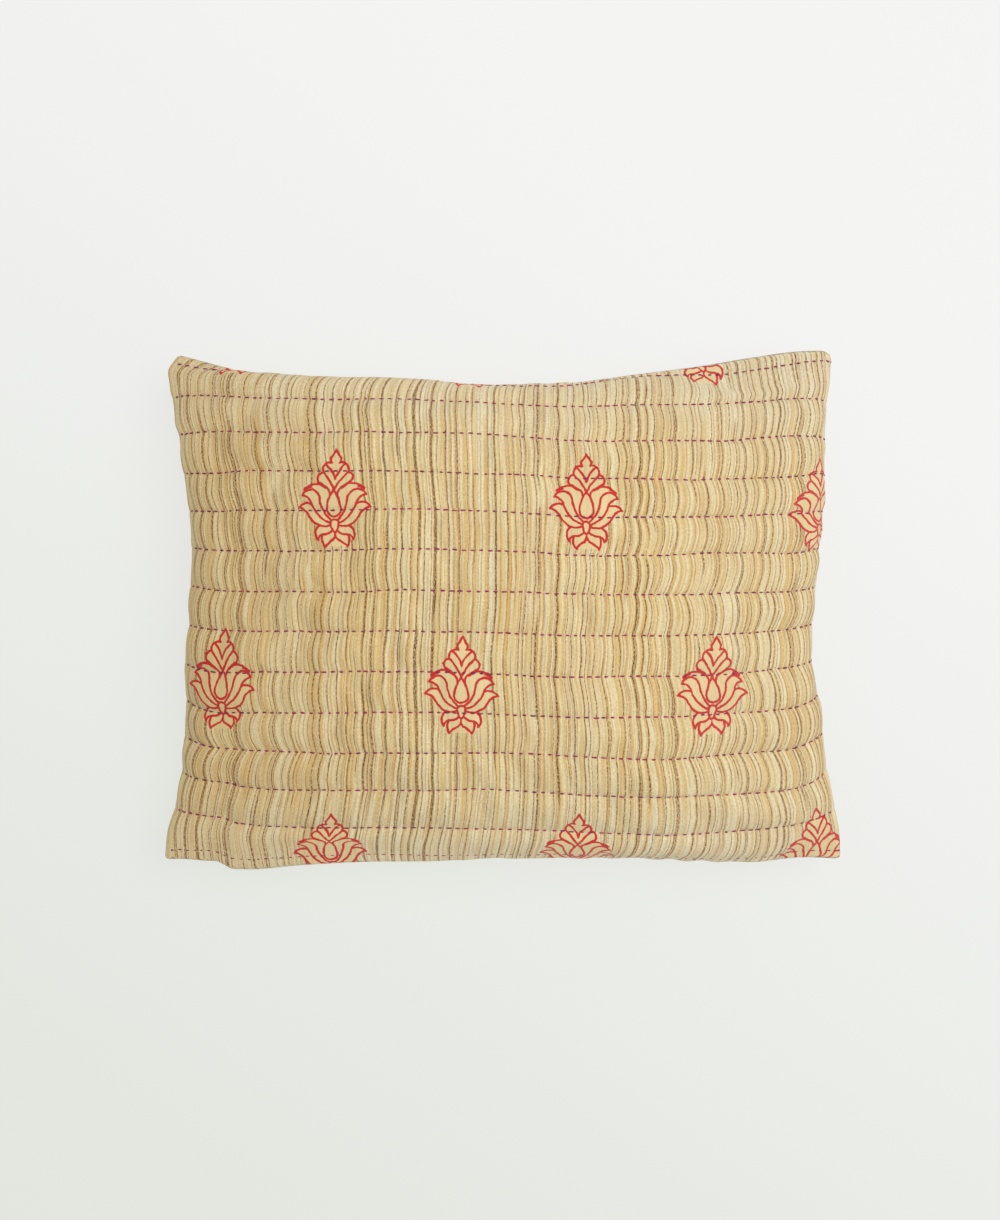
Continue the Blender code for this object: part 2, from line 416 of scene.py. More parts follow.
def grid_faces(index, turned):
    """Four-sided faces between neighbouring points of a grid of point numbers."""
    corners = (index[:-1, :-1], index[1:, :-1], index[1:, 1:], index[:-1, 1:])
    faces = np.stack([corner.ravel() for corner in corners], axis=-1)
    return faces[:, ::-1] if turned else faces


def closed_cover(name, front, back):
    """One closed mesh of the two panels, with the front's points along the seam."""
    front_index, back_index = two_panels(front.shape[:2])
    points = np.concatenate([front.reshape(-1, 3), back[1:-1, 1:-1].reshape(-1, 3)])
    faces = np.concatenate([grid_faces(front_index, False), grid_faces(back_index, True)])
    mesh = bpy.data.meshes.new(name)
    mesh.from_pydata(points.tolist(), [], faces.tolist())
    mesh.shade_smooth()
    return mesh


# The cloth is settled on a coarse grid: Blender's cloth blows it up against
# its rows, whose thread is a little shorter than the cloth it gathers
COARSE_COLUMNS = 100
COARSE_STEPS = 6
COARSE_MARGIN_STEPS = 2
LINE_CROWDING = 0.6
SETTLING_FRAMES = 22
MOST_SETTLING = 0.005
SEAM_HOLD = 0.036
CLOTH_SETTINGS = {
    "quality": 6,
    "mass": 0.3,
    "tension_stiffness": 15,
    "compression_stiffness": 15,
    "shear_stiffness": 5,
    "bending_stiffness": 1.0,
    "bending_damping": 0.5,
    "use_pressure": True,
    "uniform_pressure_force": 4,
    "vertex_group_mass": "held",
    "vertex_group_shrink": "rows",
    "shrink_min": -0.006,
    "shrink_max": 0.012,
}


def linked(name, data):
    """A new object in the scene, with a mesh, a light or a camera as its data."""
    made = bpy.data.objects.new(name, data)
    bpy.context.scene.collection.objects.link(made)
    return made


def vertex_places(mesh):
    """The mesh's vertices as an array, a line for each with x, y and z."""
    places = np.empty(len(mesh.vertices) * 3)
    mesh.vertices.foreach_get("co", places)
    return places.reshape(-1, 3)


def settled_panels(right_lines, down_lines):
    """How far the cloth moves each point of the two panels, as two grids."""
    front = panel(right_lines, down_lines, 1)
    back = panel(right_lines, down_lines, -1)
    mesh = closed_cover("settling_cloth", front, back)
    cloth = linked("settling_cloth", mesh)
    front_index, back_index = two_panels(front.shape[:2])
    start = vertex_places(mesh)
    on_seam = np.zeros(len(start), bool)
    for edge in (front_index[0], front_index[-1], front_index[:, 0], front_index[:, -1]):
        on_seam[edge] = True
    on_floor = start[:, 2] < PRESSED_BACK
    on_row = np.zeros(len(start), bool)
    row_lines = COARSE_MARGIN_STEPS + np.arange(ROW_COUNT) * COARSE_STEPS
    on_row[front_index[row_lines]] = True
    on_row[back_index[row_lines]] = True
    for name, chosen in (("held", on_seam | on_floor), ("rows", on_row)):
        group = cloth.vertex_groups.new(name=name)
        group.add(np.flatnonzero(chosen).tolist(), 1.0, "REPLACE")
    modifier = cloth.modifiers.new("cloth", "CLOTH")
    for name, value in CLOTH_SETTINGS.items():
        setattr(modifier.settings, name, value)
    modifier.settings.effector_weights.gravity = 0
    modifier.collision_settings.use_collision = False
    modifier.point_cache.frame_start = 1
    modifier.point_cache.frame_end = SETTLING_FRAMES
    for step in range(1, SETTLING_FRAMES + 1):
        bpy.context.scene.frame_set(step)
    settled = cloth.evaluated_get(bpy.context.evaluated_depsgraph_get()).to_mesh()
    shift = vertex_places(settled) - start
    bpy.context.scene.frame_set(1)
    bpy.data.objects.remove(cloth, do_unlink=True)
    bpy.data.meshes.remove(mesh)
    length = np.maximum(np.linalg.norm(shift, axis=1, keepdims=True), 1e-9)
    shift *= MOST_SETTLING * np.tanh(length / MOST_SETTLING) / length
    return shift[front_index], shift[back_index]


# The finished cover, on a fine grid
FINE_COLUMNS = 296
FINE_STEPS = 12
FINE_MARGIN_STEPS = 4
right_lines = np.linspace(0, 1, FINE_COLUMNS + 1)
down_lines = down_lines_of(FINE_STEPS, FINE_MARGIN_STEPS, LINE_CROWDING)
row_lines = FINE_MARGIN_STEPS + np.arange(ROW_COUNT) * FINE_STEPS
front_points = panel(right_lines, down_lines, 1)
back_points = panel(right_lines, down_lines, -1)
coarse_right = np.linspace(0, 1, COARSE_COLUMNS + 1)
coarse_down = down_lines_of(COARSE_STEPS, COARSE_MARGIN_STEPS, LINE_CROWDING)
shifts = settled_panels(coarse_right, coarse_down)
held = eased(fade_in(distance_to_seam(coarse_right, coarse_down), SEAM_HOLD))[..., None] ** 2
for points, shift in zip((front_points, back_points), shifts):
    points += smooth_field(down_lines, right_lines, coarse_down, coarse_right, held * shift)

# Where each stitch lies along its row, in metres from the left seam, how deep
# its thread presses the cloth in, and how the seam gathers the cloth beside it
STITCH_PITCH = 0.00505
STITCH_UNEVEN = 0.00045
FIRST_STITCH = 0.0015
LAST_STITCH = CLOTH_LENGTH - 0.002
PLACES_SEED = 200
DENT_REACH = 0.0016
DENT_BETWEEN = 0.00012
DENT_UNDER = 0.00022
DENT_FADE = 0.004
GATHER = 0.0007
GATHER_FADE = 0.002
GATHER_REACH = 0.009


def stitch_middles(facing, row):
    """Places along one row: an even step, each a little long or short at random."""
    draw = np.random.default_rng(PLACES_SEED + 100 * facing + row)
    count = int(CLOTH_LENGTH / STITCH_PITCH) + 4
    places = FIRST_STITCH + np.cumsum(STITCH_PITCH + draw.normal(0, STITCH_UNEVEN, count))
    return places[places < LAST_STITCH]


def stitched(points, facing):
    """The panel with the cloth pressed in under each stitch and gathered along the seam."""
    normals = outward_normals(points, facing)
    along = right_lines * CLOTH_LENGTH
    dent = np.zeros(points.shape[:2])
    for row, line in enumerate(row_lines):
        middles = stitch_middles(facing, row)
        phase = np.interp(along, middles, np.arange(len(middles)))
        off_row = (down_lines - down_lines[line]) * CLOTH_HEIGHT
        near = np.exp(-((off_row / DENT_REACH) ** 2))
        dent += near[:, None] * (DENT_BETWEEN + DENT_UNDER * np.cos(2 * np.pi * phase))[None, :]
    to_seam = distance_to_seam(right_lines, down_lines)
    gathers = GATHER * random_field(GATHER_FIELD, facing, down_lines, right_lines)
    gathers = gathers * fade_in(to_seam, GATHER_FADE) * np.exp(-to_seam / GATHER_REACH)
    raised = gathers - dent * fade_in(to_seam, DENT_FADE)
    points = points + raised[..., None] * normals
    points[..., 2] = np.maximum(points[..., 2], 0.0)
    return points


front_points = stitched(front_points, 1)
back_points = stitched(back_points, -1)
for line in (np.s_[0, :], np.s_[-1, :], np.s_[:, 0], np.s_[:, -1]):
    front_points[line] -= SEAM_CREASE * unit(front_points[line] * (1, 1, 0))
cover_mesh = closed_cover("quilted_cover", front_points, back_points)
cover = linked("quilted_cover", cover_mesh)

# The cloth's own coordinates in metres. The back is another length of the same
# cloth, cut beside the front.
BACK_CUT = (0.478, 0.052)


def set_map(mesh, name, front, back):
    """A UV map with one place for each point of the front grid and each of the back."""
    index = np.arange(front[..., 0].size).reshape(front.shape[:2])
    panels = ((front, False), (back, True))
    places = [grid.reshape(-1, 2)[grid_faces(index, turned)] for grid, turned in panels]
    layer = mesh.uv_layers.new(name=name)
    layer.uv.foreach_set("vector", np.concatenate(places).astype(np.float32).ravel())


cloth_place = np.stack(
    np.meshgrid(right_lines * CLOTH_LENGTH, down_lines * CLOTH_HEIGHT), axis=-1
)
set_map(cover_mesh, "cloth", cloth_place, cloth_place + BACK_CUT)

# The flowers were printed after the quilting, so the rows' pull doesn't bend
# them. The block was set by hand, so each is a few millimetres off to the right
# and down: a line for each share of the way down, a column for each to the right.
PRINT_RIGHT = (0.08, 0.25, 0.45, 0.62, 0.80, 0.95)
PRINT_DOWN = (0.0, 0.05, 0.20, 0.33, 0.50, 0.63, 0.89, 1.0)
OFF_RIGHT = (
    (10.2, 5.0, 4.5, 0.0, -0.3, 0.7),
    (10.2, 5.0, 4.5, 0.0, -0.3, 0.7),
    (1.0, 1.2, 0.8, 0.0, 0.3, 0.7),
    (-3.7, -3.7, -1.3, -0.8, 0.3, 0.7),
    (-0.4, 0.3, 1.3, 4.2, 10.3, 6.0),
    (-0.4, -0.4, 1.3, 2.2, 5.9, 4.0),
    (-3.4, -3.4, -4.5, -5.0, -6.0, -7.5),
    (-3.4, -3.4, -4.5, -5.0, -6.0, -7.5),
)
OFF_DOWN = (
    (1.6, 2.0, 2.6, 0.0, 0.3, 0.0),
    (1.6, 2.0, 2.6, 0.0, -4.2, 0.0),
    (-0.5, -0.5, -1.3, -2.9, -0.4, 2.0),
    (-0.5, -0.5, -1.3, -2.9, -0.4, 2.0),
    (-3.8, -2.5, -0.6, -1.2, -1.8, -1.8),
    (-3.8, -2.5, -0.6, -1.2, -1.8, -1.8),
    (-4.3, -4.3, -6.0, -7.2, -4.0, -1.6),
    (-7.2, -7.2, -7.0, -7.0, -4.0, -1.6),
)
front_print, back_print = cloth_place.copy(), cloth_place + BACK_CUT
front_print[..., 0] += drawn_along(right_lines, down_lines, 1)
back_print[..., 0] += drawn_along(right_lines, down_lines, -1)
across = np.clip(right_lines, PRINT_RIGHT[0], PRINT_RIGHT[-1])
for axis, off in ((0, OFF_RIGHT), (1, OFF_DOWN)):
    front_print[..., axis] -= MM * smooth_field(down_lines, across, PRINT_DOWN, PRINT_RIGHT, off)
set_map(cover_mesh, "print", front_print, back_print)

# The map for baking: the front fills the lower half of the picture, the back the upper
BAKED_SIZE = (0.98, 0.48)
BAKED_FRONT = (0.01, 0.01)
BAKED_BACK = (0.01, 0.51)
baked = np.stack(np.meshgrid(right_lines, 1 - down_lines), axis=-1) * BAKED_SIZE
set_map(cover_mesh, "OFBake", baked + BAKED_FRONT, baked + BAKED_BACK)


def fill_inputs(tree, made, inputs):
    """Puts sockets or plain values on a node's inputs."""
    for key, value in inputs.items():
        if isinstance(value, bpy.types.NodeSocket):
            tree.links.new(value, made.inputs[key])
        else:
            made.inputs[key].default_value = value


def node(tree, kind, inputs=None, **settings):
    """A new shader node with its settings, and with sockets or plain values on its inputs."""
    made = tree.nodes.new(kind)
    for name, value in settings.items():
        setattr(made, name, value)
    fill_inputs(tree, made, inputs or {})
    return made


def math_node(tree, operation, first, second=0.0, third=0.0):
    made = node(tree, "ShaderNodeMath", {0: first, 1: second, 2: third}, operation=operation)
    return made.outputs[0]


def vector_node(tree, operation, first, second=(0.0, 0.0, 0.0)):
    made = node(tree, "ShaderNodeVectorMath", {0: first, 1: second}, operation=operation)
    return made.outputs["Value" if operation in ("LENGTH", "DOT_PRODUCT") else "Vector"]


def step_between(tree, value, low, high):
    """0 below low and 1 above high, with a smooth step between. High may be under low."""
    made = node(
        tree,
        "ShaderNodeMapRange",
        {"Value": value, "From Min": low, "From Max": high},
        interpolation_type="SMOOTHSTEP",
    )
    return made.outputs["Result"]


def noise(tree, vector, scale=1.0, detail=0.0):
    made = node(
        tree,
        "ShaderNodeTexNoise",
        {"Vector": vector, "Scale": scale, "Detail": detail},
        noise_dimensions="2D",
    )
    return made.outputs["Fac"]


def stretched_noise(tree, place, steps, detail=0.0):
    """Noise whose grain is as fine as the steps for each millimetre, across and down."""
    return noise(tree, vector_node(tree, "MULTIPLY", place, (*steps, 0)), detail=detail)


def flat_place(tree, across, down):
    return node(tree, "ShaderNodeCombineXYZ", {0: across, 1: down}).outputs[0]


def mixed(tree, share, first, second, blend="MIX"):
    inputs = {0: share, 6: first, 7: second}
    return node(tree, "ShaderNodeMix", inputs, data_type="RGBA", blend_type=blend).outputs[2]


def tinted(tree, base, mask, share, tint, blend="MIX"):
    """The base with a tint mixed in where the mask is, as strongly as the share."""
    return mixed(tree, math_node(tree, "MULTIPLY", mask, share), base, tint, blend)


def new_group(name, inputs, outputs):
    """An empty shader group with its sockets, its input node and its output node."""
    group = bpy.data.node_groups.new(name, "ShaderNodeTree")
    for sockets, direction in ((inputs, "INPUT"), (outputs, "OUTPUT")):
        for socket, kind in sockets:
            group.interface.new_socket(socket, in_out=direction, socket_type=kind)
    return group, group.nodes.new("NodeGroupInput"), group.nodes.new("NodeGroupOutput")


def placed(tree, group, inputs):
    return node(tree, "ShaderNodeGroup", inputs, node_tree=group)


NUMBER = "NodeSocketFloat"
VECTOR = "NodeSocketVector"
THREAD_SOCKETS = ("Across", "Down", "Pitch", "Half Width", "Softness", "Share", "Seed", "Run")


def dyed_thread_group():
    """Lines down the cloth, as warp threads of another colour make them.

    The cloth is cut into strips of one pitch, and each holds one line at a
    random place, of random width, which comes and goes down the cloth.
    """
    group, given, result = new_group(
        "dyed_threads", [(name, NUMBER) for name in THREAD_SOCKETS], [("Mask", NUMBER)]
    )
    value = given.outputs
    strip = math_node(group, "FLOOR", math_node(group, "DIVIDE", value["Across"], value["Pitch"]))
    key = flat_place(group, strip, value["Seed"])
    drawn = node(group, "ShaderNodeTexWhiteNoise", {"Vector": key}, noise_dimensions="2D")
    parts = node(group, "ShaderNodeSeparateColor", {0: drawn.outputs["Color"]}).outputs

    # The line keeps off the strip's edges, and is 0.45 to 1.55 times as wide as asked
    place = math_node(group, "MULTIPLY_ADD", parts[0], 0.7, 0.15)
    middle = math_node(group, "MULTIPLY", math_node(group, "ADD", strip, place), value["Pitch"])
    off = math_node(group, "ABSOLUTE", math_node(group, "SUBTRACT", value["Across"], middle))
    width = math_node(group, "MULTIPLY_ADD", parts[1], 1.1, 0.45)
    half = math_node(group, "MULTIPLY", value["Half Width"], width)
    line = step_between(group, off, math_node(group, "ADD", half, value["Softness"]), half)
    chosen = math_node(group, "LESS_THAN", parts[2], value["Share"])

    # It comes and goes along each run, and single threads fleck it down to a quarter
    run = math_node(group, "DIVIDE", value["Down"], value["Run"])
    strand = math_node(group, "MULTIPLY_ADD", strip, 7.31, value["Seed"])
    strength = noise(group, flat_place(group, run, strand), detail=1.5)
    strength = step_between(group, strength, 0.30, 0.44)
    fleck_place = flat_place(group, value["Across"], value["Down"])
    flecks = step_between(group, stretched_noise(group, fleck_place, (2.2, 0.75), 1.0), 0.36, 0.54)
    flecks = math_node(group, "MULTIPLY_ADD", flecks, 0.76, 0.24)
    strength = math_node(group, "MULTIPLY", strength, flecks)
    shown = math_node(group, "MULTIPLY", math_node(group, "MULTIPLY", line, chosen), strength)
    group.links.new(shown, result.inputs["Mask"])
    return group


# The printed flower: a lotus bud with its leaves, drawn as arcs in millimetres
# from the middle of the ring under the bud, on the right of its axis, and
# mirrored. Each arc has its two ends and a point between them.
FLOWER_ARCS = (
    ((0.0, 44.0), (1.4, 41.6), (3.0, 39.2)),  # tip
    ((3.0, 39.2), (3.0, 37.8), (2.5, 36.5)),
    ((2.5, 36.5), (6.6, 35.2), (7.5, 31.0)),  # upper leaf
    ((5.4, 35.3), (2.4, 32.0), (0.0, 27.0)),
    ((7.5, 31.0), (3.9, 27.0), (0.0, 20.0)),
    ((7.5, 31.0), (10.5, 28.6), (8.5, 24.3)),  # lower leaf
    ((5.0, 22.0), (3.0, 20.2), (2.2, 17.0)),
    ((6.5, 23.0), (12.0, 23.8), (17.5, 20.5)),  # top petal
    ((19.0, 16.8), (16.8, 19.4), (13.2, 20.4)),  # middle petal
    ((13.2, 20.4), (9.8, 18.4), (8.2, 14.2)),
    ((8.2, 14.2), (6.2, 7.6), (2.0, 2.2)),
    ((19.0, 16.8), (15.4, 15.2), (13.3, 11.7)),
    ((13.3, 11.7), (8.9, 4.4), (2.8, 0.4)),
    ((21.5, 9.5), (17.8, 12.3), (13.3, 11.7)),  # low petal
    ((21.5, 9.5), (18.2, 8.2), (15.8, 5.4)),
    ((15.8, 5.4), (12.6, 0.9), (8.5, -1.5)),
    ((8.5, -1.5), (5.6, -1.8), (2.4, -0.8)),
    ((0.0, 20.0), (2.6, 15.6), (4.0, 10.2)),  # heart
    ((4.0, 10.2), (3.1, 5.7), (0.0, 4.2)),
    ((0.0, 2.3), (1.7, 1.7), (2.4, 0.0)),  # ring
    ((2.4, 0.0), (2.0, -2.6), (0.7, -5.2)),
    ((8.5, -1.5), (11.4, -4.6), (10.3, -10.3)),  # side leaf
    ((10.3, -10.3), (9.0, -7.9), (6.6, -7.0)),
    ((6.6, -7.0), (4.2, -6.5), (1.6, -4.6)),
    ((7.4, -7.2), (8.1, -10.9), (6.6, -14.5)),  # bottom leaf
    ((6.6, -14.5), (4.2, -12.1), (1.6, -10.5)),
    ((1.6, -10.5), (0.5, -9.0), (0.0, -5.5)),
)
THICK_ARCS = (
    ((8.5, 24.3), (6.8, 23.0), (4.8, 21.8)),
    ((17.5, 20.5), (16.4, 21.4), (14.6, 22.2)),
)
LINE_HALF = 0.72
THICK_HALF = 1.0
INK_EDGE = 0.16
LEAF_DROP = -14.5
TIP_HEIGHT = 44.0
FLOWER_REACH = 22.0
FLOWER_WIDE = 0.97
FLOWER_TALL = 0.935
BUD_HEIGHT = 43.5
WOBBLE = 0.9
INK_SPREAD = 0.5

# Half the width of the plain ground behind the flower, at heights above its ring
GROUND_OUTLINE = (
    (-14.5, 6.8),
    (-10.8, 8.2),
    (-10.2, 10.4),
    (-4.6, 11.3),
    (-2.0, 9.0),
    (1.0, 12.6),
    (5.4, 15.8),
    (8.2, 18.2),
    (9.5, 21.5),
    (12.0, 18.6),
    (12.6, 15.6),
    (15.4, 15.8),
    (16.8, 19.0),
    (20.5, 17.6),
    (23.2, 13.6),
    (24.2, 8.7),
    (28.6, 10.5),
    (31.0, 7.6),
    (34.8, 6.7),
    (36.5, 2.6),
    (39.2, 3.0),
    (44.0, 0.0),
)

# The flowers stand in rows, each half a repeat along from the last
REPEAT_ALONG = 144.0
REPEAT_DOWN = 104.0
FIRST_RING = (106.5, 104.0)


def circle_through(first, between, last):
    """Centre and radius of the circle through three points."""
    ax, ay = first
    bx, by = between
    cx, cy = last
    spread = 2 * (ax * (by - cy) + bx * (cy - ay) + cx * (ay - by))
    squares = (ax**2 + ay**2, bx**2 + by**2, cx**2 + cy**2)
    x = (squares[0] * (by - cy) + squares[1] * (cy - ay) + squares[2] * (ay - by)) / spread
    y = (squares[0] * (cx - bx) + squares[1] * (ax - cx) + squares[2] * (bx - ax)) / spread
    return (x, y), math.hypot(ax - x, ay - y)


def arc_group():
    """Distance from a drawn arc, or from the strokes before it if they are nearer.

    A point is as far from the arc as from its circle, or as it lies past the
    ends of the arc's chord, or behind that chord.
    """
    vectors = ("Place", "Centre", "Chord Direction", "Towards")
    numbers = ("Radius", "Half Chord", "Chord Height", "Before")
    sockets = [(name, VECTOR) for name in vectors] + [(name, NUMBER) for name in numbers]
    group, given, result = new_group("arc_stroke", sockets, [("Distance", NUMBER)])
    value = given.outputs
    off = vector_node(group, "SUBTRACT", value["Place"], value["Centre"])
    length = vector_node(group, "LENGTH", off)
    from_circle = math_node(group, "SUBTRACT", length, value["Radius"])
    from_circle = math_node(group, "ABSOLUTE", from_circle)
    along = vector_node(group, "DOT_PRODUCT", off, value["Chord Direction"])
    along = math_node(group, "ABSOLUTE", along)
    past_ends = math_node(group, "SUBTRACT", along, value["Half Chord"])
    ahead = vector_node(group, "DOT_PRODUCT", off, value["Towards"])
    behind = math_node(group, "SUBTRACT", value["Chord Height"], ahead)
    distance = math_node(group, "MAXIMUM", past_ends, behind)
    distance = math_node(group, "MAXIMUM", from_circle, distance)
    nearest = math_node(group, "MINIMUM", distance, value["Before"])
    group.links.new(nearest, result.inputs["Distance"])
    return group


def stroke_distance(tree, group, place, arcs):
    """Distance from the nearest of the arcs, each passed on to the next."""
    nearest = 100.0
    for first, between, last in arcs:
        centre, radius = circle_through(first, between, last)
        chord = Vector((last[0] - first[0], last[1] - first[1], 0))
        direction = chord.normalized()
        towards = Vector((between[0] - centre[0], between[1] - centre[1], 0))
        towards = (towards - direction * towards.dot(direction)).normalized()
        inputs = {
            "Place": place,
            "Centre": (*centre, 0),
            "Radius": radius,
            "Chord Direction": direction,
            "Half Chord": chord.length / 2,
            "Towards": towards,
            "Chord Height": (Vector((*first, 0)) - Vector((*centre, 0))).dot(towards),
            "Before": nearest,
        }
        nearest = placed(tree, group, inputs).outputs["Distance"]
    return nearest


def curve_value(tree, value, points, low, high, tallest):
    """A value looked up on a line of straight stretches between points."""
    inputs = {"Value": value, "From Min": low, "From Max": high}
    share = node(tree, "ShaderNodeMapRange", inputs).outputs["Result"]
    looked_up = node(tree, "ShaderNodeFloatCurve", {"Value": share})
    curve = looked_up.mapping.curves[0]
    wanted = [((x - low) / (high - low), y / tallest) for x, y in points]
    while len(curve.points) < len(wanted):
        curve.points.new(0.5, 0.5)
    for point, (x, y) in zip(curve.points, wanted):
        point.location = (x, y)
        point.handle_type = "VECTOR"
    looked_up.mapping.update()
    return math_node(tree, "MULTIPLY", looked_up.outputs[0], tallest)


def printed_flower_group():
    """Ink and plain ground of the block print, over the whole cloth, in millimetres."""
    group, given, result = new_group(
        "printed_flower",
        [("Across", NUMBER), ("Down", NUMBER)],
        [("Ink", NUMBER), ("Ground", NUMBER)],
    )
    across, down = given.outputs["Across"], given.outputs["Down"]

    # Which row of flowers a place is in, and how far it is from the flower's axis and ring
    below_first = math_node(group, "SUBTRACT", down, FIRST_RING[1] - BUD_HEIGHT)
    print_row = math_node(group, "FLOOR", math_node(group, "DIVIDE", below_first, REPEAT_DOWN))
    ring_down = math_node(group, "MULTIPLY_ADD", print_row, REPEAT_DOWN, FIRST_RING[1])
    height = math_node(group, "SUBTRACT", ring_down, down)
    odd = math_node(group, "ABSOLUTE", math_node(group, "MODULO", print_row, 2.0))
    start = math_node(group, "MULTIPLY_ADD", odd, REPEAT_ALONG / 2, FIRST_RING[0])
    side = math_node(group, "SUBTRACT", across, start)
    side = math_node(group, "PINGPONG", side, REPEAT_ALONG / 2)

    # The print's unsteady line, and the flower's size
    unsteady = flat_place(group, across, down)
    elsewhere = vector_node(group, "ADD", unsteady, (91, 33, 0))
    wobble = math_node(group, "SUBTRACT", noise(group, unsteady, 0.23, 1.0), 0.5)
    wobble_up = math_node(group, "SUBTRACT", noise(group, elsewhere, 0.23, 1.0), 0.5)
    side = math_node(group, "DIVIDE", side, FLOWER_WIDE)
    side = math_node(group, "MULTIPLY_ADD", wobble, WOBBLE, side)
    side = math_node(group, "ABSOLUTE", side)
    height = math_node(group, "DIVIDE", height, FLOWER_TALL)
    height = math_node(group, "MULTIPLY_ADD", wobble_up, WOBBLE, height)
    place = flat_place(group, side, height)

    # The ink, within half a line of the nearest arc, a little more or less as it spread
    arc = arc_group()
    thin = stroke_distance(group, arc, place, FLOWER_ARCS)
    thick = stroke_distance(group, arc, place, THICK_ARCS)
    thick = math_node(group, "ADD", thick, LINE_HALF - THICK_HALF)
    nearest = math_node(group, "MINIMUM", thin, thick)
    spread = math_node(group, "SUBTRACT", noise(group, unsteady, 0.9, 1.0), 0.5)
    nearest = math_node(group, "MULTIPLY_ADD", spread, INK_SPREAD, nearest)
    ink = step_between(group, nearest, LINE_HALF + INK_EDGE, LINE_HALF - INK_EDGE)

    # The ground, inside its outline and between the lowest leaf and the tip
    half = curve_value(group, height, GROUND_OUTLINE, LEAF_DROP, TIP_HEIGHT, FLOWER_REACH)
    inside = step_between(group, math_node(group, "SUBTRACT", side, half), 0.3, -0.3)
    above_leaf = step_between(group, height, LEAF_DROP - 0.1, LEAF_DROP + 0.2)
    below_tip = step_between(group, height, TIP_HEIGHT + 0.2, TIP_HEIGHT - 0.2)
    in_height = math_node(group, "MULTIPLY", above_leaf, below_tip)
    ground = math_node(group, "MULTIPLY", inside, in_height)
    group.links.new(ink, result.inputs["Ink"])
    group.links.new(ground, result.inputs["Ground"])
    return group


def colour(red, green, blue):
    """A colour as a picture's 0 to 255, turned into the shader's linear light."""
    shares = [value / 255 for value in (red, green, blue)]
    linear = [
        share / 12.92 if share <= 0.04045 else ((share + 0.055) / 1.055) ** 2.4 for share in shares
    ]
    return (*linear, 1.0)


# The kinds of dyed warp line, as they are laid on. In brackets, in millimetres:
# the pitch of the strips that may hold a line, half a line's width, its soft
# edge, the share of strips that hold one, a seed, and how far a line runs. Then
# how strong the dye is, and its colour.
SOFT_LINES = (
    ((3.1, 0.60, 0.40, 0.66, 3.0, 60.0), 0.90, colour(212, 173, 102)),
    ((2.2, 0.22, 0.14, 0.50, 11.0, 40.0), 0.92, colour(186, 132, 60)),
    ((2.9, 0.36, 0.14, 0.50, 21.0, 70.0), 0.85, colour(235, 223, 194)),
)
BESIDE_DARK = ((7.3, 0.55, 0.30, 0.72, 51.0, 50.0), 0.75, colour(188, 132, 54))
BROWN_LINES = ((4.6, 0.27, 0.07, 0.80, 31.0, 60.0), 0.95, colour(112, 60, 16))
DOTTED_LINES = ((13.0, 0.17, 0.09, 0.65, 41.0, 40.0), 0.75, colour(112, 108, 112))
DARK_LINES = ((7.3, 0.27, 0.05, 0.72, 51.0, 50.0), 0.97, colour(38, 24, 18))
WARP_WAVE = 0.46
WEFT_WAVE = 0.50


def map_parts(tree, name):
    """A UV map's place in millimetres, and its two parts, across and down."""
    metres = node(tree, "ShaderNodeUVMap", uv_map=name).outputs[0]
    scaled = node(tree, "ShaderNodeVectorMath", {0: metres, "Scale": 1 / MM}, operation="SCALE")
    parts = node(tree, "ShaderNodeSeparateXYZ", {0: scaled.outputs[0]}).outputs
    return scaled.outputs[0], parts[0], parts[1]


def new_material(name):
    """A new material, its node tree and its shader."""
    material = bpy.data.materials.new(name)
    material.use_nodes = True
    return material, material.node_tree, material.node_tree.nodes["Principled BSDF"]


